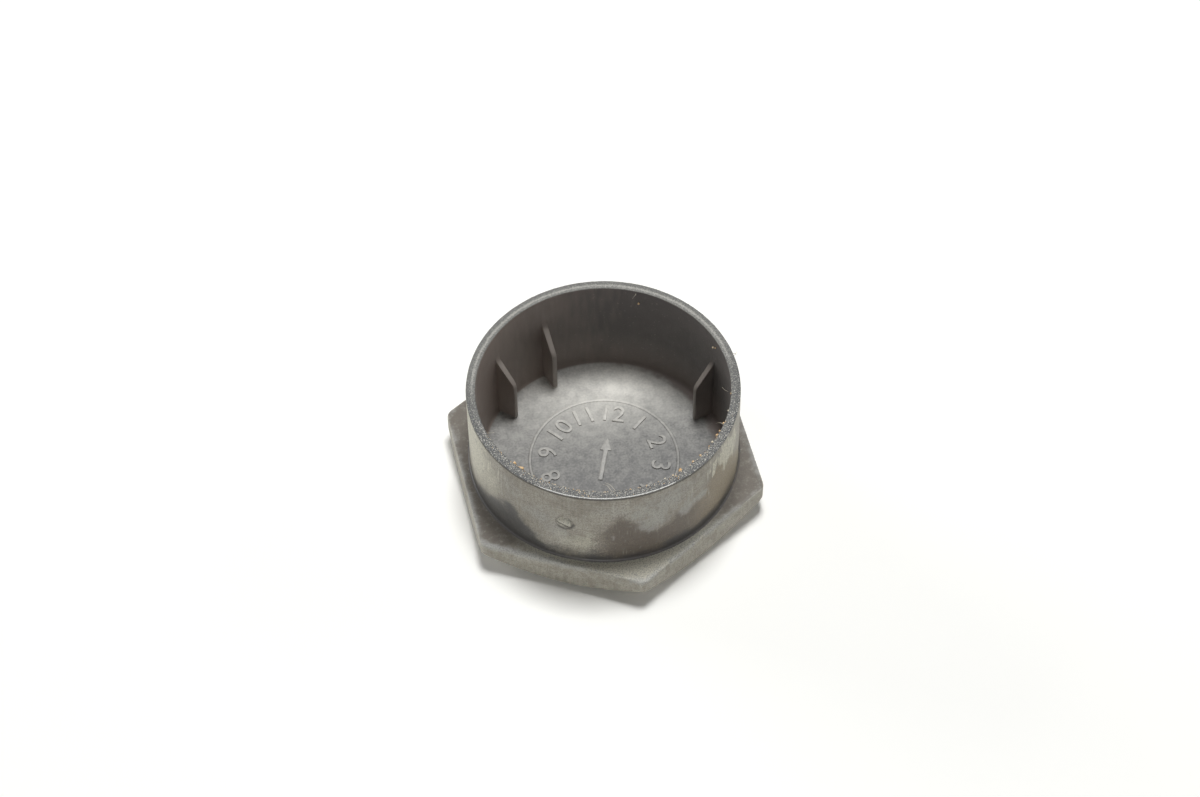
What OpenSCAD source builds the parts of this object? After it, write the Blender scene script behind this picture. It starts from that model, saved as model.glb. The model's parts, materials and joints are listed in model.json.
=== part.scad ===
// Cap for a wheel's lug bolt: one moulded piece, lying on its head with the mouth of the cup up.
// The origin is the centre of the head's outer face, and +Z runs along the cup's axis to its mouth.

/* [Head] */
// Width of the hexagonal head across its flats
head_af = 27; // [26.6:0.2:34]
// Thickness of the head, from its outer face to the shoulder that the skirt stands on
head_h = 3.5; // [3:0.1:5]
// Radius of the head's six upright corners
head_corner_r = 1.1; // [0.4:0.1:2]
// Diameter of the flat outer face, inside the chamfer
face_d = 25.4; // [23.6:0.1:26]
// Angle of the conical chamfer above the outer face
chamfer_deg = 35; // [20:1:40]

/* [Skirt] */
// Outer diameter of the skirt
skirt_od = 25.2; // [24:0.1:25.6]
// Height of the skirt above the shoulder
skirt_h = 9.7; // [9:0.1:13]
// Thickness of the skirt's wall at the rim
wall = 0.9; // [0.7:0.05:1.3]
// How much thicker the wall is at the floor, so that the piece leaves its mould
draft = 0.15; // [0:0.05:0.3]
// Break of the rim's two edges
rim_edge = 0.15; // [0.05:0.05:0.25]
// Fillet where the skirt meets the shoulder
foot_fillet = 0.25; // [0.1:0.05:0.4]

/* [Floor] */
// Thickness of the cup's floor, above the outer face
floor_t = 2; // [1.5:0.1:2.8]
// Fillet between the floor and the wall
floor_fillet = 0.6; // [0.2:0.1:0.9]

/* [Ribs] */
// Diameter of the circle through the tips of the ribs, which grip the bolt's head
rib_tip_d = 19.4; // [18:0.1:20.6]
// Thickness of a rib
rib_t = 0.6; // [0.4:0.05:1]
// Height of a rib above the floor, where its lead-in leaves the wall
rib_h = 7.7; // [6.4:0.1:8.6]
// Height of a rib's upright tip above the floor
rib_tip_h = 4.8; // [3:0.1:6]
// Bearings of the ribs on one half of the wall, in degrees from +X
rib_bearings = [15, 105, 135];

/* [Gate pip] */
// Diameter of the pip that the moulding gate left on the skirt
pip_d = 1.6; // [1:0.1:2.4]
// How far the pip stands out of the skirt
pip_proud = 0.2; // [0.1:0.05:0.4]
// Height of the pip's centre above the shoulder
pip_height = 5.3; // [3:0.1:7]
// Bearing of the pip, in degrees from +X
pip_bearing = 240; // [0:5:355]

/* [Hidden] */
$fn = 96;
// Sides of the head, and of the arc that rounds one corner
SIDES = 6;
CORNER_STEPS = 6;
FILLET_STEPS = 6;
// Depth by which joined solids run into each other, and cuts run past a face
BITE = 0.3;
total_h = head_h + skirt_h;
skirt_r = skirt_od / 2;
mouth_r = skirt_r - wall;
floor_r = mouth_r - draft;
rib_tip_r = rib_tip_d / 2;
face_r = face_d / 2;

// Points of an arc about [x, y], from bearing a to bearing b
function arc(x, y, r, a, b, steps) =
    [for (i = [0:steps]) let (t = a + (b - a) * i / steps) [x + r * cos(t), y + r * sin(t)]];

// Outline of the head: a hexagon with its flats facing 0, 60, 120 degrees and on, and round corners
function head_outline() =
    let (turn = 360 / SIDES, corner_at = (head_af / 2 - head_corner_r) / cos(turn / 2))
    [for (k = [0:SIDES - 1], p = arc(corner_at * cos((k + 0.5) * turn), corner_at * sin((k + 0.5) * turn),
        head_corner_r, k * turn, (k + 1) * turn, CORNER_STEPS)) p];

// The cone that cuts the chamfer widens at this rate, and clears the corners at the shoulder
module chamfer_cone() {
    cone_r = face_r + (head_h + BITE) / tan(chamfer_deg);
    cylinder(h = head_h + BITE, r1 = face_r, r2 = cone_r);
}

// Hexagonal plate with the chamfer of a bolt's head, which leaves a curved lower edge on each flat
module head() {
    intersection() {
        linear_extrude(height = head_h) polygon(head_outline());
        chamfer_cone();
    }
}

// Outside of the skirt, from within the head up to the rim
module skirt_outside() {
    rotate_extrude()
        polygon(concat(
            [[0, head_h - BITE], [skirt_r + foot_fillet, head_h - BITE]],
            arc(skirt_r + foot_fillet, head_h + foot_fillet, foot_fillet, 270, 180, FILLET_STEPS),
            [[skirt_r, total_h - rim_edge], [skirt_r - rim_edge, total_h], [0, total_h]]));
}

// Hollow of the cup: a drafted wall, a filleted floor and the broken inner edge of the rim
module cup_hollow() {
    rotate_extrude()
        polygon(concat(
            [[0, floor_t]],
            arc(floor_r - floor_fillet, floor_t + floor_fillet, floor_fillet, 270, 360, FILLET_STEPS),
            [[mouth_r, total_h - rim_edge], [mouth_r + rim_edge, total_h],
             [mouth_r + rim_edge, total_h + BITE], [0, total_h + BITE]]));
}

// One upright rib: a straight tip that grips the bolt's head, under a lead-in sloped down from the wall
module rib() {
    root_r = mouth_r + wall / 2;
    lead_slope = (rib_h - rib_tip_h) / (floor_r - rib_tip_r);
    root_h = rib_tip_h + lead_slope * (root_r - rib_tip_r);
    rotate([90, 0, 0]) linear_extrude(height = rib_t, center = true)
        polygon([[rib_tip_r, floor_t - BITE], [root_r, floor_t - BITE],
                 [root_r, floor_t + root_h], [rib_tip_r, floor_t + rib_tip_h]]);
}

// Every rib has its match across the cup
module ribs() {
    for (bearing = rib_bearings, half = [0, 180]) rotate([0, 0, bearing + half]) rib();
}

// Low round pip on the outside of the skirt, with a broken edge
module gate_pip() {
    pip_edge = pip_proud / 2;
    rotate([0, 0, pip_bearing]) translate([skirt_r, 0, head_h + pip_height]) rotate([0, 90, 0]) {
        translate([0, 0, -wall / 2]) cylinder(h = wall / 2 + pip_proud - pip_edge, d = pip_d);
        translate([0, 0, pip_proud - pip_edge]) cylinder(h = pip_edge, d1 = pip_d, d2 = pip_d - 2 * pip_edge);
    }
}

module bolt_cap() {
    color("#3a3633") {
        difference() {
            union() {
                head();
                skirt_outside();
            }
            cup_hollow();
        }
        ribs();
        gate_pip();
    }
}

bolt_cap();
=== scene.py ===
"""Looks of a lug bolt cap: one dark plastic moulding, aged and dusty, lying on its head with its cup up.

The cap lies on z = 0 with its axis on the Z axis. Bearings are degrees about that axis from +X, and
heights are above the outer face of the head that the cap lies on.
"""
import json
import math
import random
from functools import partial

import bmesh
import bpy
from bpy.props import FloatProperty, FloatVectorProperty, IntProperty, PointerProperty
from mathutils import Matrix, Vector, noise


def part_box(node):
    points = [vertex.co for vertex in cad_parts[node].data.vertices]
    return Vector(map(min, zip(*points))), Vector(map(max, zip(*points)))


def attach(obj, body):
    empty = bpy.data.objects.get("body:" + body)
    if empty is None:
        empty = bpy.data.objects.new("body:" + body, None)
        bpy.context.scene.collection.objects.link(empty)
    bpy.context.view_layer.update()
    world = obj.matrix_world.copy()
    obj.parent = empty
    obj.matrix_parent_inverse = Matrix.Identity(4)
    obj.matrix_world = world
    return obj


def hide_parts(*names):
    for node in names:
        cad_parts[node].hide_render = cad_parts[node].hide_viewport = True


bl_info = {
    "name": "Lug bolt cap",
    "version": (1, 0, 0),
    "blender": (4, 5, 0),
    "location": "3D View > Sidebar > Bolt Cap",
    "description": "Models an aged moulded cap for a wheel's lug bolt, and the studio it lies in",
    "category": "Object",
}

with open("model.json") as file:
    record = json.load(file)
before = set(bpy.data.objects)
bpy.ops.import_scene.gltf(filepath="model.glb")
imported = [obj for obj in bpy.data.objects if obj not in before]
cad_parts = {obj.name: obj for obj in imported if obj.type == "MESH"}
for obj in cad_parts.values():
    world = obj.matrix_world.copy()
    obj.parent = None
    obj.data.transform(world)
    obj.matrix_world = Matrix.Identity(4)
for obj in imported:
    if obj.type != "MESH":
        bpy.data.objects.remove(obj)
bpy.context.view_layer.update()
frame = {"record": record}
MM = 0.001
CAP_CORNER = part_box("bolt_cap")[1]
SKIRT_R = next(m["dims"]["r_mm"] for m in frame["record"]["mounts"] if m["name"] == "skirt") * MM
# Places nearer than this, in metres, are one place
TOUCH = 1e-6
# A point this far inside the skirt's radius, in metres, still lies on its outside
SKIN = 1e-5
# Degrees from one side of the hexagon to the next
SIDE = 60

# Bearings of the ribs inside the skirt, and of the pip on its outside
RIB_BEARINGS = (15, 105, 135, 195, 285, 315)
PIP_BEARING = 240
# How the mesh's columns are gathered towards each rib. Each row is a column's turn from the rib's
# middle before and after, in degrees, and how far it then lies back from the tip towards the wall.
RIB_SECTION = (
    (0.0, 0.0, 0.0),
    (0.6, 0.75, 0.0),
    (1.2, 1.38, 0.03),
    (1.8, 1.47, 0.35),
    (2.4, 1.56, 0.8),
    (3.0, 1.75, 1.0),
    (9.0, 9.0, 1.0),
)
# The same for the head's corners: a column's turn from the corner before and after
CORNER_TURNS = ((0.0, 0.0), (4.8, 2.4), (15.0, 15.0))

# Steps of the mesh along the cap's half section, in mm
SECTION_STEPS = {"outer_face": 2.5, "floor": 0.8, "rim_top": 0.1, "rim_band": 0.08, "cup_wall": 0.45,
    "outside": 0.2}
# The finer mesh round the pip: half its width in degrees, and half its height
FINE_PATCH = (6.2, 1.3 * MM)

# Marks on the skirt's outside, of age and of painted light. Each patch is a bearing, a height in mm, half
# its width in degrees, half its height in mm, and its strength.
PATCHES = {
    # The cream patches: the two on the skirt's left are painted highlight where its flank catches the
    # light, and the two low ones by the pip are dust
    "film": (
        (184, 10.4, 18, 4.8, 1.0),
        (199, 8.8, 9, 2.4, 0.6),
        (249, 6.1, 9, 1.6, 0.55),
        (240, 6.5, 6, 1.3, 0.45),
    ),
    "brushed": (
        (319, 11.2, 8, 2.2, 0.86),
        (309, 11.0, 5, 1.2, 0.55),
        (327, 10.4, 4, 2.4, 0.8),
        (203, 10.6, 12, 1.8, 0.35),
    ),
    "haze": (
        (228, 8.7, 9, 1.5, 0.8),
        (236, 7.4, 7, 1.8, 0.7),
        (214, 10.4, 9, 2.0, 0.5),
        (262, 11.6, 12, 0.9, 0.5),
        (284, 11.2, 14, 1.4, 0.7),
    ),
    "scuff": (
        (278, 8.8, 7, 1.7, 1.0),
        (272, 10.3, 6, 1.3, 0.75),
        (284, 10.5, 7, 1.5, 0.65),
        (293.5, 8.7, 4, 1.0, 1.0),
        (298, 8.8, 3, 0.6, 0.75),
        (302, 8.7, 4, 0.7, 1.0),
        (260, 7.1, 1.2, 0.35, 0.9),
    ),
}
# Marks that rise from the skirt's foot, as bearings with the height in mm that each reaches there
RISING = {
    "stain": (
        (247, 3.5), (251, 7.2), (256, 8.9), (263, 9.9), (267, 9.3), (271, 8.3), (279, 7.3), (285, 7.4),
        (290, 8.1), (297, 8.0), (302, 8.3), (307, 9.8), (314, 11.4), (322, 10.2), (332, 7.4), (345, 3.5),
    ),
    # A clean dark patch low on the skirt's left; along the rest of the foot the same mark is painted shade
    # and a painted reflection of the dark head
    "smear": (
        (172, 3.5), (182, 4.3), (192, 4.8), (198, 5.5), (207, 6.9), (213, 7.4), (218, 7.1), (221, 6.6),
        (226, 5.4), (232, 4.7), (240, 4.3), (262, 4.1), (290, 4.3), (325, 4.3), (345, 3.5),
    ),
}
RISING_EDGE = {"stain": 1.9, "smear": 2.0}
# Arcs, each as its middle, half its width, and how far it fades at each end, in degrees: the head's
# front-left edge, where wear and a painted sheen run unbroken, the burr and the groove of the rim's outer
# edge, the head's front, painted lighter where the skirt shades it, and the part of the rim that sand has
# scoured
EDGE_SHEEN_ARC = (226, 13, 8)
# Along this arc the rim's outer edge stands as a burr, drawn with a painted glint
BURR_ARC = (259, 27, 9)
GROOVE_ARC = (240, 58, 20)
PAINTED_LIGHT_ARC = (265, 28, 26)
SCOURED_ARC = (265, 60, 50)
# The nick in the rim, as a bearing, half its width in degrees, and its depth in mm
NICK = (289, 0.9, 0.12)

# Lamps of the studio: bearing and elevation in degrees, distance and size in m, and power in W
LAMPS = {
    "top_softbox": (60, 80, 0.6, 0.15, 2.6),
    "left_softbox": (132, 9, 0.6, 0.3, 1.62),
    "right_softbox": (5, 18, 0.6, 0.3, 0.4),
    "front_softbox": (252, 8, 0.6, 0.16, 0.69),
}


def length_property(name, description, default):
    """A length that the user can change, in metres."""
    return FloatProperty(name=name, description=description, default=default, unit="LENGTH")


def colour_property(name, description, hex_colour):
    """A colour that the user can change, written as sRGB hex."""
    values = [int(hex_colour[i:i + 2], 16) / 255 for i in (1, 3, 5)]
    return FloatVectorProperty(name=name, description=description, subtype="COLOR_GAMMA", size=3,
        min=0, max=1, default=values)


class CapSizes(bpy.types.PropertyGroup):
    """Sizes of the moulding."""

    skirt_r: length_property("Skirt radius", "Outer radius of the skirt", SKIRT_R)
    total_h: length_property("Height", "Height of the whole cap", CAP_CORNER.z)
    flat_r: length_property("Head to flat", "From the axis to one flat of the head", CAP_CORNER.x)
    head_h: length_property("Head thickness", "Thickness of the hexagonal head", 3.5 * MM)
    corner_r: length_property("Corner radius", "Radius of the head's upright corners", 1.1 * MM)
    face_r: length_property("Outer face radius", "Radius of the flat outer face", 12.7 * MM)
    chamfer: FloatProperty(name="Chamfer", description="Angle of the chamfer above the outer face",
        default=math.radians(35), subtype="ANGLE")
    wall: length_property("Wall", "Thickness of the skirt at the rim", 0.9 * MM)
    draft: length_property("Draft", "How much thicker the skirt is at the floor", 0.15 * MM)
    floor_t: length_property("Floor thickness", "Thickness of the cup's floor", 2.0 * MM)
    floor_fillet: length_property("Floor fillet", "Fillet between floor and wall", 0.6 * MM)
    foot_fillet: length_property("Foot fillet", "Fillet at the skirt's foot", 0.25 * MM)
    edge_r: length_property("Worn edge", "Rounding that wear gave the edges", 0.16 * MM)
    rim_band: length_property("Rim band", "Band under the rim with a finer mesh", 0.8 * MM)
    rib_tip_r: length_property("Rib tip radius", "From the axis to a rib's tip", 9.7 * MM)
    rib_h: length_property("Rib height", "From the floor to the top of a rib", 7.7 * MM)
    rib_tip_h: length_property("Rib tip height", "From the floor to the end of a tip", 4.8 * MM)
    pip_r: length_property("Pip radius", "Radius of the gate pip on the skirt", 0.85 * MM)
    pip_h: length_property("Pip height", "Height of the gate pip's middle", 8.8 * MM)
    pip_proud: length_property("Pip relief", "How far the gate pip stands out", 0.22 * MM)
    columns: IntProperty(name="Columns", description="Steps of the mesh round the cap", default=600)

    @property
    def mouth_r(self):
        return self.skirt_r - self.wall

    @property
    def floor_r(self):
        return self.mouth_r - self.draft

    @property
    def chamfer_h(self):
        return (self.flat_r - self.face_r) * math.tan(self.chamfer)


class DialSizes(bpy.types.PropertyGroup):
    """Sizes of the plain dial of numbers in relief on the cup's floor."""

    numbers: IntProperty(name="Numbers", description="How many numbers the dial has", default=12)
    number_r: length_property("Number circle", "Radius that the numbers stand on", 5.3 * MM)
    number_h: length_property("Number height", "Height of one figure", 1.9 * MM)
    relief: length_property("Relief", "How far the dial stands out of the floor", 0.13 * MM)
    ring_r: length_property("Ring", "Radius of the ring round the numbers", 7.0 * MM)
    ring_w: length_property("Ring width", "Width of the ring's ridge", 0.34 * MM)
    pointer_l: length_property("Pointer", "Length of the pointer in the middle", 5.0 * MM)
    pointer_w: length_property("Pointer width", "Width of the pointer's bar", 0.45 * MM)
    turn: FloatProperty(name="Turn", description="Bearing that the pointer shows",
        default=math.radians(68), subtype="ANGLE")


class DirtSizes(bpy.types.PropertyGroup):
    """Sizes of the sand and fibres that cling to the cap."""

    fine_r: length_property("Fine grain", "Radius of the largest fine grain", 0.06 * MM)
    fine_grains: IntProperty(name="Fine grains", description="Fine grains round the rim", default=170)
    fibre_r: length_property("Fibre radius", "Radius of a clinging fibre", 0.02 * MM)


class CapColours(bpy.types.PropertyGroup):
    """Colours of the plastic, of what age left on it, and of the light and shade painted on it, as sRGB."""

    plastic: colour_property("Plastic", "Bare moulded plastic", "#4a4541")
    dust: colour_property("Dust", "Road dust rubbed into the outside", "#a8a397")
    thin_dust: colour_property("Thin dust", "The same dust where it is thinner", "#8a8477")
    head_top: colour_property("Head top", "The head's top, where little dust stays", "#645d53")
    # Cream dust, also drawn as a painted highlight on the skirt's left and the gate pip's top, as painted
    # light on the head's front, and thinly on the head's sides
    film: colour_property("Film", "Cream film of dried dust on the skirt", "#d3d0be")
    # Cool grey on the skirt, also used as painted light on the head's front
    haze: colour_property("Haze", "Cool grey haze on the skirt", "#a9a8a3")
    stain: colour_property("Stain", "Brown stain low on the skirt", "#5f544a")
    tan: colour_property("Tan", "The stain's paler side", "#958871")
    # Dark patch low on the skirt's left, and painted shade with a painted reflection of the head along the
    # skirt's foot
    smear: colour_property("Smear", "Clean dark smear above the skirt's foot", "#46474a")
    # Painted shade: the dark colour drawn in the skirt's foot, in the groove under the rim and round the
    # gate pip's underside
    grime: colour_property("Grime", "Grime packed into creases", "#2c2927")
    # Painted glint: the near-white line drawn along the burr on the rim's outer edge
    burr: colour_property("Burr", "Bright metal-like burnish of a rubbed plastic edge", "#e8e8e4")
    scuff: colour_property("Scuff", "Pale grey scuffs", "#aeada6")
    # Pale wear on the head's edges, and a painted sheen along its front-left edge
    worn: colour_property("Worn edge", "Pale burnished edges", "#b0b1ae")
    rim: colour_property("Rim", "Ground of the granular rim", "#4b4c4a")
    rim_inner: colour_property("Rim inside", "The rim's ground towards the cup", "#63635f")
    rim_fleck: colour_property("Rim fleck", "Bright flecks on the rim", "#c6c4bc")
    wall: colour_property("Cup wall", "Dark wall inside the cup", "#605b59")
    warm_wall: colour_property("Warm wall", "Brown cast on the cup's wall", "#968981")
    # Paler plastic on the ribs: rubbed at their tips, and painted light on their shaded sides and on the
    # lead-in slopes that face up
    rubbed: colour_property("Rubbed ribs", "Paler plastic where the ribs are rubbed", "#9a928b")
    # Pale bloom on the floor, drawn palest where the most light falls
    bloom: colour_property("Floor bloom", "Pale bloom on the cup's floor", "#f0eee6")
    # The floor towards its front and its wall, drawn darker as painted shade
    thin_bloom: colour_property("Thin bloom", "The bloom where it is thinner", "#6d6d6c")
    sand: colour_property("Sand", "Tan sand grains", "#ecca98")
    dark_sand: colour_property("Dark sand", "Darker faces of the tan grains", "#c99a62")
    quartz: colour_property("Quartz", "Pale sand grains", "#f4ead0")
    fibre: colour_property("Fibre", "Clinging fibres", "#b5b3ab")


class StageSettings(bpy.types.PropertyGroup):
    """The studio: camera, tent and paper."""

    lens: FloatProperty(name="Lens", description="Focal length on a 36 mm sensor", default=90.4,
        unit="CAMERA")
    distance: length_property("Distance", "From the camera to its aim", 286.9 * MM)
    elevation: FloatProperty(name="Elevation", description="How far the camera looks down",
        default=math.radians(52.66), subtype="ANGLE")
    azimuth: FloatProperty(name="Azimuth", description="Bearing that the camera looks along",
        default=math.radians(77.04), subtype="ANGLE")
    roll: FloatProperty(name="Roll", description="Tilt of the camera about its own axis",
        default=math.radians(0.85), subtype="ANGLE")
    aim: FloatVectorProperty(name="Aim", description="Point at the middle of the view",
        default=(1.06 * MM, 5.98 * MM, 3.5 * MM), subtype="XYZ", unit="LENGTH")
    tent_level: FloatProperty(name="Tent", description="Level of the white tent round the cap",
        default=0.12)
    paper: colour_property("Paper", "White paper that the cap lies on", "#f7f7f4")
    paper_gain: FloatProperty(name="Paper gain", description="How much brighter the camera sees the paper",
        default=1.2)


def linear(srgb):
    """An sRGB colour turned to linear RGBA."""
    return [c / 12.92 if c <= 0.04045 else ((c + 0.055) / 1.055) ** 2.4 for c in srgb] + [1.0]


def smooth(x):
    """Eases from 0 at 0 to 1 at 1."""
    x = min(1.0, max(0.0, x))
    return x * x * (3 - 2 * x)


def ridge(x, width):
    """A smooth hump, 1 at 0 and gone at about twice the width."""
    return math.exp(-(x / width) ** 2)


def mix(a, b, t):
    """From a to b, as t goes from 0 to 1."""
    return a + (b - a) * t


def along(x, points):
    """Reads a row of values between the points of a table, each a place and one or more values."""
    for left, right in zip(points, points[1:]):
        if left[0] <= x <= right[0]:
            t = (x - left[0]) / (right[0] - left[0])
            return [mix(a, b, t) for a, b in zip(left[1:], right[1:])]
    return list(points[0][1:] if x < points[0][0] else points[-1][1:])


def polar(co):
    """A point's distance from the axis, its bearing and its height."""
    return math.hypot(co.x, co.y), math.degrees(math.atan2(co.y, co.x)) % 360, co.z


def turn_from(bearing, middle):
    """Signed turn in degrees from one bearing to another."""
    return (bearing - middle + 180) % 360 - 180


def within(bearing, arc):
    """1 inside an arc of bearings, and 0 past its soft ends."""
    middle, half_width, fade = arc
    return 1 - smooth((abs(turn_from(bearing, middle)) - half_width) / fade)


def at_bearing(bearing, radius, height):
    """The point at a bearing, a distance from the axis and a height."""
    angle = math.radians(bearing)
    return Vector((radius * math.cos(angle), radius * math.sin(angle), height))


def new_piece(name, bm, materials):
    """Makes a bmesh into a piece of the object that rides with the cap."""
    bmesh.ops.recalc_face_normals(bm, faces=bm.faces)
    mesh = bpy.data.meshes.new(name)
    bm.to_mesh(mesh)
    bm.free()
    for material in materials:
        mesh.materials.append(material)
    piece = bpy.data.objects.new(name, mesh)
    bpy.context.scene.collection.objects.link(piece)
    mesh.shade_smooth()
    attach(piece, "root")
    return piece


# The moulding


def draw_half_section(bm, s):
    """Half section of the cap as a chain of edges, from the middle of the outer face round the rim
    to the middle of the floor, with its corners rounded."""
    corners = (
        ((0, 0), 0),
        ((s.face_r, 0), 0.3 * s.edge_r),
        ((s.flat_r, s.chamfer_h), 0.8 * s.edge_r),
        ((s.flat_r, s.head_h), s.edge_r),
        ((s.skirt_r, s.head_h), s.foot_fillet),
        ((s.skirt_r, s.total_h - s.rim_band), 0),
        ((s.skirt_r, s.total_h), 0.6 * s.edge_r),
        ((s.mouth_r, s.total_h), s.edge_r),
        ((s.floor_r, s.floor_t), s.floor_fillet),
        ((0, s.floor_t), 0),
    )
    chain = [bm.verts.new((r, 0, z)) for (r, z), setback in corners]
    for a, b in zip(chain, chain[1:]):
        bm.edges.new((a, b))
    for vert, (place, setback) in zip(chain, corners):
        if setback:
            bmesh.ops.bevel(bm, geom=[vert], offset=setback, offset_type="OFFSET",
                affect="VERTICES", segments=4, profile=0.5, material=-1)


def divide_section(bm, s):
    """Divides the section's long edges to the fineness that each stretch needs."""
    for edge in list(bm.edges):
        middle = (edge.verts[0].co + edge.verts[1].co) / 2
        if middle.z < s.floor_t / 2 and middle.x < s.face_r:
            stretch = "outer_face"
        elif abs(middle.z - s.floor_t) < TOUCH:
            stretch = "floor"
        elif abs(middle.z - s.total_h) < TOUCH:
            stretch = "rim_top"
        elif middle.z > s.total_h - s.rim_band and middle.x > s.mouth_r:
            stretch = "rim_band"
        elif middle.x < s.mouth_r + TOUCH:
            stretch = "cup_wall"
        else:
            stretch = "outside"
        cuts = int(edge.calc_length() / (SECTION_STEPS[stretch] * MM))
        if cuts:
            bmesh.ops.subdivide_edges(bm, edges=[edge], cuts=cuts)


def hexagon_radius(bearing, s):
    """From the axis to the head's outline, a hexagon with round corners and a flat facing +X."""
    turn = math.radians(abs((bearing + SIDE / 2) % SIDE - SIDE / 2))
    half_side = math.radians(SIDE / 2)
    corner_at = (s.flat_r - s.corner_r) / math.cos(half_side)
    if turn < math.atan2(corner_at * math.sin(half_side), s.flat_r):
        return s.flat_r / math.cos(turn)
    off = half_side - turn
    return corner_at * math.cos(off) + math.sqrt(s.corner_r ** 2 - (corner_at * math.sin(off)) ** 2)


def shape_head(bm, s):
    """Draws the round head out to its hexagon, with the mesh's columns gathered towards its corners.
    The chamfer rises with the distance from the axis, so its upper edge is a curve on each flat."""
    foot_r = s.skirt_r + s.foot_fillet
    for vert in bm.verts:
        r, bearing, z = polar(vert.co)
        inner = mix(s.face_r, foot_r, z / s.head_h)
        if z > s.head_h + TOUCH or r < inner:
            continue
        out = (r - inner) / (s.flat_r - inner)
        corner = (bearing // SIDE) * SIDE + SIDE / 2
        turn = bearing - corner
        gathered = turn
        if abs(turn) < CORNER_TURNS[-1][0]:
            gathered = math.copysign(along(abs(turn), CORNER_TURNS)[0], turn)
        bearing = corner + mix(turn, gathered, smooth(out * 1.6))
        outline = hexagon_radius(bearing, s)
        rise = (outline - s.face_r) * math.tan(s.chamfer)
        if z <= s.chamfer_h:
            new_z = z * rise / s.chamfer_h
        else:
            new_z = mix(rise, s.head_h, (z - s.chamfer_h) / (s.head_h - s.chamfer_h))
        vert.co = at_bearing(bearing, mix(inner, outline, out), new_z)


def raise_ribs(bm, s):
    """Presses the wall of the cup inwards into upright ribs, each with a lead-in sloped from the wall
    down to a straight tip."""
    for vert in bm.verts:
        r, bearing, z = polar(vert.co)
        if z < s.floor_t - TOUCH or r > s.mouth_r + TOUCH:
            continue
        rib = min(RIB_BEARINGS, key=lambda middle: abs(turn_from(bearing, middle)))
        turn = turn_from(bearing, rib)
        side, back = abs(turn), 1.0
        if side < RIB_SECTION[-1][0]:
            side, back = along(side, RIB_SECTION)
        above = z - s.floor_t
        near_rib = 1 - smooth((above - s.rib_h) / (2 * MM))
        gathering = near_rib * smooth(r / s.floor_r * 4 - 2.4)
        bearing = rib + mix(turn, math.copysign(side, turn), gathering)
        lead = (above - s.rib_tip_h) / (s.rib_h - s.rib_tip_h)
        wall_r = mix(s.floor_r, s.mouth_r, above / (s.total_h - s.floor_t))
        face_r = mix(mix(s.rib_tip_r, wall_r, max(0.0, lead)), wall_r, back)
        vert.co = at_bearing(bearing, min(r, face_r) if lead < 1 else r, z)


def refine_patch(bm, s):
    """Divides the skirt's mesh more finely round the gate pip."""
    half_turn, half_height = FINE_PATCH

    def near_pip(co):
        r, bearing, z = polar(co)
        beside = abs(turn_from(bearing, PIP_BEARING)) < half_turn
        return beside and abs(z - s.pip_h) < half_height and r > s.skirt_r - TOUCH

    edges = [e for e in bm.edges if near_pip(e.verts[0].co) and near_pip(e.verts[1].co)]
    bmesh.ops.subdivide_edges(bm, edges=edges, cuts=2, use_grid_fill=True)
    for vert in bm.verts:
        if near_pip(vert.co):
            vert.co = at_bearing(polar(vert.co)[1], s.skirt_r, vert.co.z)


def pip_place(bearing, z, s):
    """Where a point of the skirt lies on the gate pip, as steps across and up of one pip radius."""
    across = math.radians(turn_from(bearing, PIP_BEARING)) * s.skirt_r / s.pip_r
    return across, (z - s.pip_h) / s.pip_r


def raise_pip(bm, s):
    """Raises the gate pip: a low round disc that is torn off below a line across it, and a dent under
    its foot."""
    for vert in bm.verts:
        r, bearing, z = polar(vert.co)
        across, up = pip_place(bearing, z, s)
        if r < s.skirt_r - SKIN or abs(across) > 1.5 or abs(up) > 1.5:
            continue
        reach = math.hypot(across, up) + 0.06 * noise.noise(Vector((across, up, 0)) * 2.5)
        disc = 1 - smooth((reach - 0.62) / 0.36)
        whole = smooth((up + 0.42 * across + 0.12) / 0.3)
        moat = 0.3 * ridge(reach - 1.08, 0.14) * smooth(0.4 + 0.3 * across - 0.8 * up)
        lift = s.pip_proud * (disc * (0.35 + 0.65 * whole) - moat)
        vert.co = at_bearing(bearing, r + lift, z)


def age_shape(bm, s):
    """Wears the moulding: a burr and a groove along the rim's outer edge, a scoured rim with one nick,
    small dents along the head's edges, and a skirt that isn't quite smooth."""
    nick_at, nick_width, nick_depth = NICK
    for vert in bm.verts:
        r, bearing, z = polar(vert.co)
        place = vert.co / MM
        below_rim = (s.total_h - z) / MM
        burr = within(bearing, BURR_ARC) * smooth(((r - s.skirt_r) / MM + 0.16) / 0.08)
        lift = 0.0
        drop = 0.0
        if r > s.skirt_r - SKIN and z > s.head_h + 0.3 * MM:
            lift -= 0.01 + 0.015 * noise.noise(place * Vector((0.5, 0.5, 0.35)))
            lift -= 0.007 + 0.007 * noise.noise(place * 2.6)
            groove = ridge(below_rim - 0.22, 0.1) * groove_at(bearing)
            lift -= 0.06 * groove * (0.8 + 0.4 * noise.noise(place * 0.9))
        if below_rim < 0.04:
            grain = noise.noise(place * 4.6) + 0.6 * noise.noise(place * 10.0)
            drop += (0.03 + 0.03 * grain + 0.012 * noise.noise(place * 0.5)) * (1 - burr)
            nick = ridge(turn_from(bearing, nick_at), nick_width) * smooth((r - s.skirt_r) / MM + 1)
            drop += nick_depth * nick
        if z < s.head_h + TOUCH and r > s.face_r:
            edge = ridge((s.head_h - z) / MM, 0.2) * smooth((r / hexagon_radius(bearing, s) - 0.985) / 0.01)
            dents = max(0.0, noise.noise(place * 0.9) - 0.1) + 0.4 * max(0.0, noise.noise(place * 2.7))
            drop += 0.05 * edge * dents
            lift -= 0.04 * edge * dents
        vert.co = at_bearing(bearing, r + lift * MM, z - max(0.0, drop) * MM)


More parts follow.
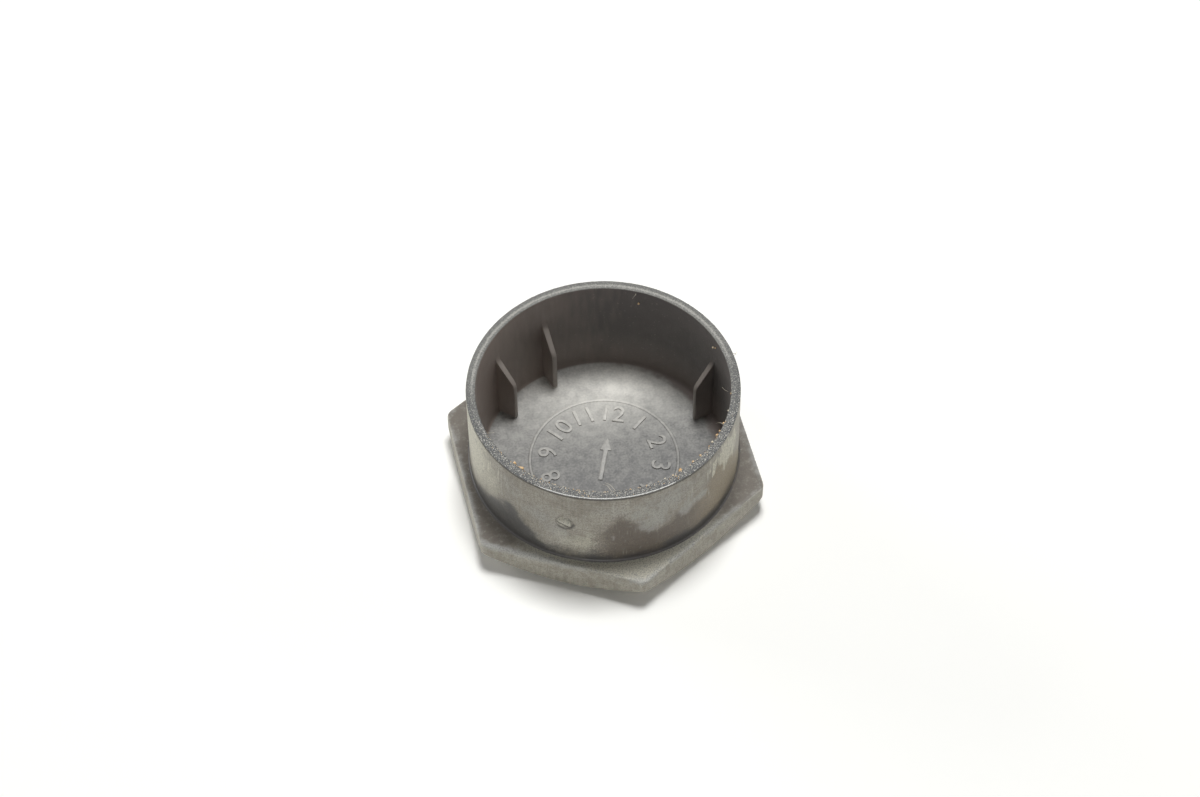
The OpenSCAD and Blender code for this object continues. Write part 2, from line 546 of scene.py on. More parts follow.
def groove_at(bearing):
    """How deep the groove under the rim's outer edge is."""
    return 0.25 + 0.75 * within(bearing, GROOVE_ARC)


def patch_strength(bearing, height, patches):
    """How strongly a set of patches shows at one place on the skirt, from 0 to 1."""
    strength = 0.0
    for middle, level, half_turn, half_height, most in patches:
        reach = math.hypot(turn_from(bearing, middle) / half_turn, (height - level) / half_height)
        strength = max(strength, most * (1 - smooth((reach - 0.3) / 1.1)))
    return strength


def marks_at(co, s):
    """How strongly each mark shows at one place, from 0 to 1: marks of age, and painted shade, highlight
    and light.
    """
    r, bearing, z = polar(co)
    height = z / MM
    above_head = (z - s.head_h) / MM
    above_floor = (z - s.floor_t) / MM
    below_rim = (s.total_h - z) / MM
    outward = (r - s.skirt_r) / MM
    marks = {}
    if outward > -0.1 and above_head > 0 and outward < 0.5:
        wander = 0.9 * noise.noise(co / MM * 0.45) + 0.5 * noise.noise(co / MM * 1.3)
        wander += 0.3 * noise.noise(co / MM * 3.4)
        for name, patches in PATCHES.items():
            marks[name] = patch_strength(bearing + 2 * wander, height + wander, patches)
        for name, line in RISING.items():
            marks[name] = smooth((along(bearing, line)[0] + wander - height) / RISING_EDGE[name] + 0.5)
        marks["stain"] *= smooth((bearing + 3 * wander - 240) / 26)
        across, up = pip_place(bearing, z, s)
        reach = math.hypot(across, up)
        # Painted shade: a crescent under the gate pip, its sides and the line below where it tore are drawn
        # dark as shade falls there, and so are the groove under the rim's edge and a band at the skirt's
        # foot
        under_pip = ridge(reach - 0.92, 0.26) * smooth(0.3 + 0.3 * across - 0.9 * up)
        beside_pip = 0.55 * ridge(reach - 0.96, 0.15) * smooth(abs(across) - 0.1)
        below_tear = 0.85 * ridge(up + 0.42 * across + 0.25, 0.2) * (1 - smooth((reach - 0.7) / 0.3))
        groove = groove_at(bearing) * ridge(below_rim - 0.22, 0.12)
        foot = max(0.75 * ridge(above_head, 0.5), 0.5 * ridge(above_head, 1.4))
        marks["grime"] = max(foot, under_pip, beside_pip, below_tear, groove)
        # Painted highlight: the pip's upper part is drawn pale, as light falls on its top
        on_pip = 1 - smooth((math.hypot(across + 0.1, up - 0.25) - 0.5) / 0.35)
        marks["film"] = max(marks["film"], 0.95 * on_pip)
        marks["haze"] *= 1 - on_pip
        marks["stain"] *= 1 - on_pip
    # Painted light: along its front the head's top is drawn paler, with cream dust and cool grey in place
    # of its darker colour, where the skirt shades it
    if above_head > -0.06 and outward > 0.1:
        front = within(bearing, PAINTED_LIGHT_ARC)
        marks["head_top"] = 1 - front
        marks["haze"] = 0.4 * front
        marks["film"] = 0.9 * front
    # Pale wear in patches along the head's edges; along the front-left edge the band runs unbroken and is a
    # painted sheen
    if above_head < 0.01 and r > s.face_r:
        near_edge = math.hypot((hexagon_radius(bearing, s) - r) / MM, above_head)
        unbroken = within(bearing, EDGE_SHEEN_ARC)
        patchy = smooth(0.4 + 1.5 * noise.noise(co / MM * 0.45))
        marks["worn"] = ridge(near_edge, 0.5) * (0.4 + 0.7 * unbroken + 0.45 * patchy)
        # The head's sides all round take a little of the cream colour, drawing them paler than its top
        marks.setdefault("film", 0.22)
    # Painted glint: a near-white line along the rim's outer edge, strongest along the burr
    if below_rim < 0.3 and outward > -0.4:
        lip = ridge(below_rim, 0.06) * smooth((outward + 0.14) / 0.07)
        marks["burr"] = lip * (0.1 + 0.9 * within(bearing, BURR_ARC))
    # Painted light on the ribs: their shaded sides are drawn paler, and more so the tips and the lead-in
    # slopes that face up; the tips are rubbed as well
    if above_floor > 0.3 and outward < -0.5:
        rib_turn = min(abs(turn_from(bearing, rib)) for rib in RIB_BEARINGS)
        wall_r = mix(s.floor_r, s.mouth_r, above_floor * MM / (s.total_h - s.floor_t))
        proud = (wall_r - r) / MM
        lead_in = smooth((above_floor * MM - s.rib_tip_h) / (0.5 * MM))
        marks["rubbed"] = smooth(proud * 4) * (0.2 + ridge(rib_turn, 1.3) * (0.5 + 0.25 * lead_in))
    marks["scoured"] = within(bearing, SCOURED_ARC)
    marks["tan"] = smooth((bearing - 288) / 26) * (1 - smooth((bearing - 340) / 10))
    return marks


def paint_marks(bm, s):
    """Writes where the marks of age, and of painted light and shade, lie into the mesh, for the materials
    to read.
    """
    names = (*PATCHES, *RISING, "grime", "burr", "head_top", "worn", "rubbed", "scoured", "tan")
    layers = {name: bm.verts.layers.float.new(name) for name in names}
    for vert in bm.verts:
        for name, strength in marks_at(vert.co, s).items():
            vert[layers[name]] = strength


def sort_faces(bm, s):
    """Gives each face its finish: 0 outside, 1 the rim's top, 2 inside the cup."""
    for face in bm.faces:
        r, _, z = polar(face.calc_center_median())
        if z > s.total_h - 0.09 * MM:
            face.material_index = 1
        elif r < s.mouth_r + 0.2 * MM and z > s.floor_t - 0.01 * MM:
            face.material_index = 2


def model_moulding(s, materials):
    """The whole cap: a half section spun round, drawn out to a hexagon, pressed into ribs and worn."""
    bm = bmesh.new()
    draw_half_section(bm, s)
    divide_section(bm, s)
    bmesh.ops.spin(bm, geom=bm.verts[:] + bm.edges[:], cent=(0, 0, 0), axis=(0, 0, 1),
        angle=math.tau, steps=s.columns, use_merge=True)
    shape_head(bm, s)
    raise_ribs(bm, s)
    bmesh.ops.remove_doubles(bm, verts=bm.verts, dist=0.002 * MM)
    refine_patch(bm, s)
    raise_pip(bm, s)
    sort_faces(bm, s)
    age_shape(bm, s)
    paint_marks(bm, s)
    piece = new_piece("cap_moulding", bm, materials)
    piece.data.set_sharp_from_angle(angle=math.radians(50))
    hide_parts("bolt_cap")


# The dial on the cup's floor


# Size of the font whose figures are 1 high
FIGURE_FONT = 1.36


def relief_mesh(body, size, relief):
    """A figure as a closed mesh with rounded strokes, centred on the origin."""
    curve = bpy.data.curves.new("figure", "FONT")
    curve.body = body
    curve.size = size * FIGURE_FONT
    curve.align_x = "CENTER"
    curve.align_y = "CENTER"
    curve.offset = -0.2 * relief
    curve.extrude = relief * 0.65
    curve.bevel_depth = relief * 0.35
    curve.bevel_resolution = 3
    curve.resolution_u = 6
    text = bpy.data.objects.new("figure", curve)
    bpy.context.scene.collection.objects.link(text)
    bpy.context.view_layer.update()
    mesh = bpy.data.meshes.new_from_object(text.evaluated_get(bpy.context.evaluated_depsgraph_get()))
    bpy.data.objects.remove(text)
    bpy.data.curves.remove(curve)
    return mesh


def add_numbers(bm, d, floor_z):
    """Plain numbers round the dial, each with its foot towards the middle."""
    for number in range(1, d.numbers + 1):
        mesh = relief_mesh(str(number), d.number_h, d.relief)
        angle = d.turn - math.pi / 2 - math.tau * number / d.numbers
        mesh.transform(Matrix.Rotation(angle, 4, "Z") @ Matrix.Translation((0, d.number_r, floor_z)))
        bm.from_mesh(mesh)
        bpy.data.meshes.remove(mesh)


def add_ring(bm, d, floor_z):
    """A low round-topped ridge in a circle on the floor."""
    start = at_bearing(0, d.ring_r, floor_z)
    circle = bmesh.ops.create_circle(bm, segments=12, radius=d.ring_w / 2,
        matrix=Matrix.Translation(start) @ Matrix.Rotation(math.pi / 2, 4, "X"))
    bmesh.ops.scale(bm, vec=(1, 1, 1.4 * d.relief / d.ring_w), space=Matrix.Translation(-start),
        verts=circle["verts"])
    edges = list({e for v in circle["verts"] for e in v.link_edges})
    bmesh.ops.spin(bm, geom=circle["verts"] + edges, cent=(0, 0, 0), axis=(0, 0, 1),
        angle=math.tau, steps=160, use_merge=True)


def add_pointer(bm, d, floor_z):
    """A plain arrow in the middle of the dial, extruded from its outline and softened."""
    half, length = d.pointer_w / 2, d.pointer_l / 2
    outline = ((-half, -length), (half, -length), (half, 0.4 * length), (2.6 * half, 0.4 * length),
        (0, length), (-2.6 * half, 0.4 * length), (-half, 0.4 * length))
    foot = bm.faces.new([bm.verts.new((x, y, -d.relief)) for x, y in outline])
    grown = bmesh.ops.extrude_face_region(bm, geom=[foot], use_keep_orig=True)["geom"]
    top = [g for g in grown if isinstance(g, bmesh.types.BMVert)]
    bmesh.ops.translate(bm, vec=(0, 0, 2 * d.relief), verts=top)
    edges = {e for v in top for e in v.link_edges}
    softened = bmesh.ops.bevel(bm, geom=list(edges), offset=0.09 * MM, segments=3, profile=0.5,
        affect="EDGES", material=-1)["verts"]
    arrow = list({*softened, *(v for v in bm.verts if v.is_valid and abs(v.co.z) < 2 * d.relief)})
    turn = Matrix.Rotation(d.turn - math.pi / 2, 3, "Z")
    bmesh.ops.rotate(bm, cent=(0, 0, 0), matrix=turn, verts=arrow)
    bmesh.ops.translate(bm, vec=(0, 0, floor_z), verts=arrow)


def model_dial(d, floor_z, material):
    """The dial: a pointer, its numbers, and a ring round them."""
    bm = bmesh.new()
    add_pointer(bm, d, floor_z)
    add_numbers(bm, d, floor_z)
    add_ring(bm, d, floor_z)
    bmesh.ops.remove_doubles(bm, verts=bm.verts, dist=0.001 * MM)
    piece = new_piece("floor_dial", bm, [material])
    piece.data.set_sharp_from_angle(angle=math.radians(40))


# Sand and fibres


# Larger grains at the rim's inner edge: bearing, radius in mm, height in mm, and size in mm
RIM_GRAINS = (
    (213, 11.6, 12.98, 0.2), (217.4, 11.62, 13.02, 0.2), (216.2, 11.6, 12.9, 0.14),
    (228, 11.7, 13.05, 0.1), (234.8, 11.75, 13.08, 0.12), (238.6, 11.72, 13.0, 0.1),
    (243.2, 11.7, 13.0, 0.12), (246, 11.75, 13.05, 0.13), (252, 11.72, 13.05, 0.1),
    (263.5, 11.72, 13.0, 0.1), (268.4, 11.68, 13.0, 0.12), (276.2, 11.5, 12.7, 0.12),
    (284.5, 11.72, 13.05, 0.13), (288.6, 11.75, 13.05, 0.14), (292.9, 11.6, 12.95, 0.26),
    (300.4, 11.62, 12.95, 0.18), (305.1, 11.66, 13.0, 0.15), (311.5, 11.66, 12.95, 0.12),
    (314.4, 11.62, 12.95, 0.16), (319, 11.6, 12.9, 0.2), (321.2, 11.63, 13.0, 0.12),
    (326, 11.66, 12.95, 0.13), (333, 11.7, 13.05, 0.1), (343, 11.72, 13.0, 0.11),
    (59.6, 11.58, 11.6, 0.13), (14.5, 11.55, 12.0, 0.11), (12.8, 11.58, 12.3, 0.08),
)

# The fine grains: a seed for their places, and where they lie, as a bearing and half its width
SAND_SEED = 17
SAND_ARC = (262, 75)

# Fibres: bearing, radius in mm and height in mm of the root, then two bends and the tip as steps
# in mm round the wall, inwards and up
FIBRES = (
    ((61, 11.62, 12.9), ((0.1, 0.05, -0.25), (0.25, 0.1, -0.5), (0.3, 0.06, -0.75))),
    ((191.6, 11.66, 12.9), ((0.12, 0.2, 0.05), (0.3, 0.45, 0.12), (0.36, 0.6, 0.2))),
    ((260.2, 11.8, 13.08), ((-0.15, 0.35, 0.02), (-0.4, 0.75, 0.04), (-0.75, 1.0, -0.1))),
    ((262.0, 11.8, 13.08), ((-0.2, 0.4, 0.03), (-0.5, 0.9, 0.0), (-0.9, 1.3, -0.2))),
    ((325.3, 11.7, 12.9), ((0.1, 0.25, 0.05), (0.05, 0.5, 0.1), (-0.2, 0.7, 0.1))),
    ((352.2, 11.6, 10.8), ((0.15, 0.3, 0.1), (0.3, 0.5, 0.3), (0.2, 0.6, 0.6))),
    ((4, 12.55, 12.7), ((0.1, -0.25, 0.1), (0.35, -0.55, 0.2), (0.9, -0.65, 0.1))),
    ((5, 12.55, 12.9), ((-0.1, -0.3, 0.05), (-0.4, -0.4, 0.1), (-0.6, -0.35, 0.2))),
)


def add_grain(bm, place, size, finish, rng):
    """One angular grain with a few facets."""
    grain = bmesh.ops.create_icosphere(bm, subdivisions=1, radius=size, matrix=Matrix.Translation(place))
    for vert in grain["verts"]:
        vert.co = place + (vert.co - place) * rng.uniform(0.65, 1.12)
    for face in {f for v in grain["verts"] for f in v.link_faces}:
        face.material_index = finish


def model_sand(t, s, materials):
    """Sand that clings to the rim, mostly along the front of its inner edge."""
    rng = random.Random(SAND_SEED)
    middle, half_width = SAND_ARC
    bm = bmesh.new()
    for bearing, radius, height, size in RIM_GRAINS:
        place = at_bearing(bearing, radius * MM, height * MM)
        add_grain(bm, place, size * MM, int(rng.random() < 0.3), rng)
    for _ in range(t.fine_grains):
        bearing = middle + half_width * rng.uniform(-1, 1) * rng.random() ** 0.3
        inward = rng.random() ** 2.2 * (s.wall - 0.25 * MM)
        place = at_bearing(bearing, s.mouth_r + 0.05 * MM + inward, s.total_h - 0.05 * MM)
        add_grain(bm, place, t.fine_r * rng.uniform(0.5, 1.0), int(rng.random() < 0.55), rng)
    for vert in bm.verts:
        vert.co.z = min(vert.co.z, s.total_h)
    new_piece("sand_grains", bm, materials)


def add_fibre(bm, root, steps, radius):
    """One fibre: a small ring of points extruded along a bent line, thinner at each step, and closed at
    both ends."""
    bearing, r, height = root
    outward = at_bearing(bearing, 1, 0)
    round_wall = Vector((-outward.y, outward.x, 0))
    start = at_bearing(bearing, r * MM, height * MM)
    line = [start]
    line += [start + (round_wall * a - outward * b + Vector((0, 0, c))) * MM for a, b, c in steps]
    ring = bmesh.ops.create_circle(bm, cap_ends=True, segments=6, radius=radius)["verts"]
    turn = (line[1] - line[0]).to_track_quat("Z", "Y").to_matrix()
    bmesh.ops.rotate(bm, cent=(0, 0, 0), matrix=turn, verts=ring)
    bmesh.ops.translate(bm, vec=start, verts=ring)
    foot = ring[0].link_faces[0]
    end = foot
    for a, b in zip(line, line[1:]):
        # The face goes with its edges, so that none is left across the inside
        grown = bmesh.ops.extrude_face_region(bm, geom=[end, *end.edges],
            use_keep_orig=end is foot)["geom"]
        ring = [g for g in grown if isinstance(g, bmesh.types.BMVert)]
        end = next(g for g in grown if isinstance(g, bmesh.types.BMFace))
        bmesh.ops.translate(bm, vec=b - a, verts=ring)
        bmesh.ops.scale(bm, vec=(0.85, 0.85, 0.85), space=Matrix.Translation(-b), verts=ring)


def model_fibres(t, material):
    """The few fibres caught on the rim and on the wall of the cup."""
    bm = bmesh.new()
    for root, steps in FIBRES:
        add_fibre(bm, root, steps, t.fibre_r)
    new_piece("fibres", bm, [material])


# Materials


def add_node(tree, kind, inputs=(), output=0, **settings):
    """Adds a node of a kind, which is its class's name after ShaderNode. Sets its properties, feeds its
    inputs with values or with other nodes' outputs, and returns the output that the next node reads."""
    node = tree.nodes.new("ShaderNode" + kind)
    for name, value in settings.items():
        setattr(node, name, value)
    for key, value in dict(inputs).items():
        if isinstance(value, bpy.types.NodeSocket):
            tree.links.new(value, node.inputs[key])
        else:
            node.inputs[key].default_value = value
    return node.outputs[output]


def new_material(name, constants):
    """A material with a Principled shader, and constants set on its own sockets. With it come the
    function that adds its nodes, and the Object coordinates that its patterns lie on."""
    material = bpy.data.materials.new(name)
    material.use_nodes = True
    for key, value in constants.items():
        material.node_tree.nodes["Principled BSDF"].inputs[key].default_value = value
    node = partial(add_node, material.node_tree)
    return material, node, node("TexCoord", output="Object")


def finish_material(material, inputs):
    """Links patterns to the Principled shader of a material."""
    tree = material.node_tree
    for key, socket in inputs.items():
        tree.links.new(socket, tree.nodes["Principled BSDF"].inputs[key])
    return material


def weathered_nylon(c):
    """Black moulded nylon after years behind a wheel: matt, rubbed grey with road dust, cream dust and a
    brown stain on the skirt, a clean dark patch low on its left, pale upright scuffs, and pale wear on the
    edges. Painted light is drawn in as well: painted highlights on the skirt's left and on the gate pip's
    top, painted light on the head's front, a painted sheen along its front-left edge, a painted glint on
    the rim's burr, and painted shade with a painted reflection of the head along the skirt's foot, with
    painted shade in the rim's groove and round the pip. Nylon's own IOR is about 1.53. The dust scatters
    light at its limb, which the sheen gives."""
    material, node, place = new_material("weathered_moulded_nylon", {"IOR": 1.53, "Sheen Weight": 0.12,
        "Sheen Roughness": 0.4, "Sheen Tint": linear(c.film)})
    upright = node("Mapping", {"Vector": place, "Scale": (1, 1, 0.13)})
    level = node("Mapping", {"Vector": place, "Scale": (0.13, 0.13, 1)})
    # Clouds of dust 3 mm across, mottling of 0.7 mm, and a quarter of a millimetre for the brush marks
    # that run up the skirt and round it. The moulded grain is finer than 0.1 mm and is drawn at
    # 0.13 mm, so that it shows.
    cloud = node("TexNoise", {"Vector": place, "Scale": 1 / (3.0 * MM), "Detail": 3})
    mottle = node("TexNoise", {"Vector": place, "Scale": 1 / (0.7 * MM), "Detail": 3})
    streak = node("TexNoise", {"Vector": upright, "Scale": 1 / (0.25 * MM), "Detail": 2})
    hoop = node("TexNoise", {"Vector": level, "Scale": 1 / (0.25 * MM), "Detail": 2})
    grain = node("TexNoise", {"Vector": place, "Scale": 1 / (0.13 * MM), "Detail": 2})
    dusting = cloud
    for pattern, share in ((mottle, 0.5), (streak, 0.4), (hoop, 0.4)):
        dusting = node("Math", {0: pattern, 1: share, 2: dusting}, operation="MULTIPLY_ADD")
    dusted = node("MapRange", {"Value": dusting, "From Min": 0.95, "From Max": 1.35})
    on_top = node("Attribute", attribute_name="head_top", output="Fac")
    colour = linear(c.thin_dust)
    for cover, tint in ((dusted, c.dust), (on_top, c.head_top)):
        colour = node("Mix", {0: cover, 6: colour, 7: linear(tint)}, data_type="RGBA", output=2)
    paler = node("Attribute", attribute_name="tan", output="Fac")
    stain = node("Mix", {0: paler, 6: linear(c.stain), 7: linear(c.tan)}, data_type="RGBA", output=2)
    # Each mark's colour, how much it covers, how far mottling, brush marks and grain tear its edge, and
    # how gradual that edge is. A later mark lies over the ones before it.
    marks = {
        # Cream dust, painted highlight on the skirt's left and the pip, and painted light on the head's
        # front
        "film": (linear(c.film), 0.9, 0.6, 0.2, 0.3, 1.2),
        # Cool grey on the skirt, and painted light on the head's front
        "haze": (linear(c.haze), 0.6, 0.7, 0.3, 0.4, 1.1),
        "stain": (stain, 0.88, 0.6, 0.7, 0.9, 1.0),
        "scuff": (linear(c.scuff), 0.75, 1.0, 0.9, 1.4, 1.0),
        "brushed": (linear(c.film), 0.9, 0.3, 1.8, 0.2, 0.4),
        # Dark patch on the skirt's left, and painted shade and reflection along its foot
        "smear": (linear(c.smear), 0.9, 0.5, 0.1, 0.4, 1.1),
        # Painted shade in the skirt's foot, the rim's groove and round the gate pip
        "grime": (linear(c.grime), 0.85, 0.3, 0.1, 0.3, 0.9),
        # Wear on the head's edges, and a painted sheen along its front-left edge
        "worn": (linear(c.worn), 0.65, 0.9, 0.1, 0.8, 0.9),
        # Painted glint along the rim's outer edge
        "burr": (linear(c.burr), 0.95, 0.4, 0.0, 1.4, 0.5),
    }
    for name, (tint, cover, mottled, streaked, grained, soft) in marks.items():
        torn = node("Attribute", attribute_name=name, output="Fac")
        for pattern, share in ((mottle, mottled), (streak, streaked), (grain, grained)):
            torn = node("Math", {0: pattern, 1: share, 2: torn}, operation="MULTIPLY_ADD")
        middle = 0.5 + (mottled + streaked + grained) / 2
        shown = node("MapRange", {"Value": torn, "From Min": middle - soft / 2,
            "From Max": middle + soft / 2, "To Max": cover}, interpolation_type="SMOOTHSTEP")
        colour = node("Mix", {0: shown, 6: colour, 7: tint}, data_type="RGBA", output=2)
    pepper = node("MapRange", {"Value": grain, "From Min": 0.42, "From Max": 0.68, "To Max": 0.48})
    colour = node("Mix", {0: pepper, 6: colour, 7: linear(c.plastic)}, data_type="RGBA", output=2)
    clean = node("Attribute", attribute_name="smear", output="Fac")
    matt = node("Math", {0: clean, 1: -0.3, 2: mottle}, operation="MULTIPLY_ADD")
    roughness = node("MapRange", {"Value": matt, "To Min": 0.36, "To Max": 0.68})
    relief = grain
    for pattern, share in ((mottle, 0.8), (streak, 0.6)):
        relief = node("Math", {0: pattern, 1: share, 2: relief}, operation="MULTIPLY_ADD")
    normal = node("Bump", {"Height": relief, "Strength": 0.5, "Distance": 0.03 * MM})
    return finish_material(material, {"Base Color": colour, "Roughness": roughness, "Normal": normal})


def granular_rim(c, s):
    """The rim's top. In front, sand scoured it to a grey grain, paler towards the cup, with bright flecks,
    dark pits and a burnished burr along its outer edge, drawn with a painted glint. At the back it is
    whole, with thin dust and a painted highlight in a line round its inner edge."""
    material, node, place = new_material("sand_scoured_nylon", {"IOR": 1.53})
    flat = node("Mapping", {"Vector": place, "Scale": (1, 1, 0)})
    radius = node("VectorMath", {0: flat}, operation="LENGTH", output="Value")
    # Grains of 0.1 mm, pits of 0.2 mm, and drifts of 1.4 mm. The scratches that run round the rim are
    # finer than 0.05 mm and are drawn 0.16 mm wide, so that they show.
    grain = node("TexNoise", {"Vector": place, "Scale": 1 / (0.1 * MM), "Detail": 2})
    pits = node("TexNoise", {"Vector": place, "Scale": 1 / (0.2 * MM), "Detail": 1})
    drift = node("TexNoise", {"Vector": place, "Scale": 1 / (1.4 * MM), "Detail": 2})
    round_rim = node("Math", {0: drift, 1: 0.15 * MM, 2: radius}, operation="MULTIPLY_ADD")
    rings = node("TexNoise", {"W": round_rim, "Scale": 1 / (0.16 * MM), "Detail": 1},
        noise_dimensions="1D")
    inner = node("MapRange", {"Value": radius, "From Min": s.skirt_r - 0.25 * MM,
        "From Max": s.mouth_r + 0.1 * MM})
    for pattern, share in ((drift, 0.5), (rings, 1.2)):
        inner = node("Math", {0: pattern, 1: share, 2: inner}, operation="MULTIPLY_ADD")
    inner = node("MapRange", {"Value": inner, "From Min": 0.7, "From Max": 1.7})
    scoured = node("Attribute", attribute_name="scoured", output="Fac")
    scoured = node("MapRange", {"Value": scoured, "To Min": 0.3, "To Max": 0.9})
    fleck = node("MapRange", {"Value": grain, "From Min": 0.53, "From Max": 0.67, "To Max": scoured})
    # Painted highlight: a pale line round the rim near its inner edge, at the back
    off_line = node("Math", {0: round_rim, 1: s.mouth_r + 0.42 * MM}, operation="SUBTRACT")
    off_line = node("Math", {0: off_line}, operation="ABSOLUTE")
    off_line = node("Math", {0: grain, 1: -0.3 * MM, 2: off_line}, operation="MULTIPLY_ADD")
    whole = node("MapRange", {"Value": scoured, "From Min": 0.5, "From Max": 0.3, "To Max": 0.6})
    dusty = node("Math", {0: whole, 1: 0.2}, operation="MULTIPLY")
    inner_edge_highlight = node("MapRange", {"Value": off_line, "From Min": 0.02 * MM, "From Max": -0.12 * MM,
        "To Min": dusty, "To Max": whole})
    pitted = node("MapRange", {"Value": pits, "From Min": 0.52, "From Max": 0.34, "To Max": scoured})
    # Painted glint along the burr on the rim's outer edge
    burr = node("Attribute", attribute_name="burr", output="Fac")
    burr = node("Math", {0: grain, 1: 1.2, 2: burr}, operation="MULTIPLY_ADD")
    burr = node("MapRange", {"Value": burr, "From Min": 1.05, "From Max": 1.5})
    colour = linear(c.rim)
    for cover, tint in ((inner, c.rim_inner), (fleck, c.rim_fleck), (inner_edge_highlight, c.rim_fleck),
            (pitted, c.smear), (burr, c.burr)):
        colour = node("Mix", {0: cover, 6: colour, 7: linear(tint)}, data_type="RGBA", output=2)
    roughness = node("MapRange", {"Value": grain, "To Min": 0.75, "To Max": 0.3})
    relief = node("Bump", {"Height": grain, "Strength": 0.5, "Distance": 0.04 * MM})
    return finish_material(material, {"Base Color": colour, "Roughness": roughness, "Normal": relief})


def cup_inside(c, s):
    """The inside of the cup: a dark satin wall, brownish where the light catches it, which dust hardly
    reached, ribs drawn paler, rubbed at their tips and with painted light on their shaded sides, and a
    floor under a pale bloom. The bloom is drawn with painted light: palest near the back of the floor,
    darker towards the front, and with painted shade at the wall."""
    material, node, place = new_material("satin_moulded_nylon", {"IOR": 1.53})
    flat = node("Mapping", {"Vector": place, "Scale": (1, 1, 0)})
    upright = node("Mapping", {"Vector": place, "Scale": (1, 1, 0.2)})
    height = node("SeparateXYZ", {0: place}, output="Z")
    radius = node("VectorMath", {0: flat}, operation="LENGTH", output="Value")
    # Drifts of bloom 4 mm across, mottling of 1 mm, and draw marks of half a millimetre up the wall.
    # The moulded grain is finer than 0.1 mm and is drawn at 0.22 mm, so that it shows.
    cloud = node("TexNoise", {"Vector": place, "Scale": 1 / (4.0 * MM), "Detail": 3})
    mottle = node("TexNoise", {"Vector": place, "Scale": 1 / (1.0 * MM), "Detail": 3})
    streak = node("TexNoise", {"Vector": upright, "Scale": 1 / (0.5 * MM), "Detail": 3})
    grain = node("TexNoise", {"Vector": place, "Scale": 1 / (0.22 * MM), "Detail": 1})
    on_floor = node("MapRange", {"Value": height, "From Min": s.floor_t + 0.3 * MM,
        "From Max": s.floor_t + 0.12 * MM}, interpolation_type="SMOOTHSTEP")
    # Painted shade near the wall, reaching further out on the side towards bearing 0
    wall_shade_shift = node("VectorMath", {0: place, 1: at_bearing(0, 0.12, 0)},
        operation="DOT_PRODUCT", output="Value")
    reach = node("Math", {0: radius, 1: wall_shade_shift})
    reach = node("Math", {0: mottle, 1: 1.2 * MM, 2: reach}, operation="MULTIPLY_ADD")
    clear_of_wall_shade = node("MapRange", {"Value": reach, "From Min": 13.0 * MM, "From Max": 12.1 * MM},
        interpolation_type="SMOOTHSTEP")
    bloom_clear_of_wall_shade = node("Math", {0: on_floor, 1: clear_of_wall_shade}, operation="MULTIPLY")
    drawn_out = node("Mapping", {"Vector": place, "Scale": (0.45, 1, 0)})
    from_brightest = node("VectorMath", {0: drawn_out, 1: at_bearing(81, 8 * MM, 0)},
        operation="DISTANCE", output="Value")
    # Painted light: the floor's paleness falls off over 4 mm from its palest place, near the back of the
    # floor, drawing the front darker
    thinner = node("Math", {0: from_brightest, 1: -1 / (4 * MM), 2: -0.45}, operation="MULTIPLY_ADD")
    thinner = node("Math", {0: cloud, 1: 0.7, 2: thinner}, operation="MULTIPLY_ADD")
    bloom_and_light = node("Math", {0: thinner}, operation="EXPONENT")
    on_dial = node("MapRange", {"Value": radius, "From Min": 9 * MM, "From Max": 8 * MM,
        "To Max": 0.22})
    raised = node("MapRange", {"Value": height, "From Min": s.floor_t + 0.05 * MM,
        "From Max": s.floor_t + 0.1 * MM, "To Max": on_dial})
    bloom_and_light = node("Math", {0: bloom_and_light, 1: raised})
    for pattern, share in ((mottle, 0.4), (grain, 0.3)):
        bloom_and_light = node("Math", {0: pattern, 1: share, 2: bloom_and_light}, operation="MULTIPLY_ADD")
    bloom_and_light = node("MapRange", {"Value": bloom_and_light, "From Min": 0.35, "From Max": 1.28})
    floor = node("Mix", {0: bloom_and_light, 6: linear(c.thin_bloom), 7: linear(c.bloom)},
        data_type="RGBA", output=2)
    lit_side = node("VectorMath", {0: place, 1: at_bearing(172, 1 / (14 * MM), 0)},
        operation="DOT_PRODUCT", output="Value")
    browned = lit_side
    for pattern in (streak, cloud):
        browned = node("Math", {0: pattern, 1: 0.5, 2: browned}, operation="MULTIPLY_ADD")
    browned = node("MapRange", {"Value": browned, "From Min": 0.3, "From Max": 1.2})
    low = node("MapRange", {"Value": height, "From Min": s.floor_t + 5 * MM,
        "From Max": s.floor_t, "To Max": 0.45})
    # Rubbed rib tips, and painted light on the ribs' shaded sides and lead-in slopes
    rubbed = node("Attribute", attribute_name="rubbed", output="Fac")
    rubbed = node("Math", {0: rubbed, 1: mottle, 2: rubbed}, operation="MULTIPLY_ADD")
    rubbed = node("MapRange", {"Value": rubbed, "To Max": 0.95})
    speck = node("MapRange", {"Value": grain, "From Min": 0.68, "From Max": 0.76, "To Max": 0.3})
    wall = linear(c.wall)
    for cover, tint in ((browned, c.warm_wall), (low, c.warm_wall), (rubbed, c.rubbed), (speck, c.dust)):
        wall = node("Mix", {0: cover, 6: wall, 7: linear(tint)}, data_type="RGBA", output=2)
    colour = node("Mix", {0: bloom_clear_of_wall_shade, 6: wall, 7: floor}, data_type="RGBA", output=2)
    roughness = node("MapRange", {"Value": mottle, "To Min": 0.36, "To Max": 0.6})
    relief = grain
    for pattern, share in ((mottle, 1.2), (streak, 0.8)):
        relief = node("Math", {0: pattern, 1: share, 2: relief}, operation="MULTIPLY_ADD")
    normal = node("Bump", {"Height": relief, "Strength": 0.4, "Distance": 0.03 * MM})
    return finish_material(material, {"Base Color": colour, "Roughness": roughness, "Normal": normal})


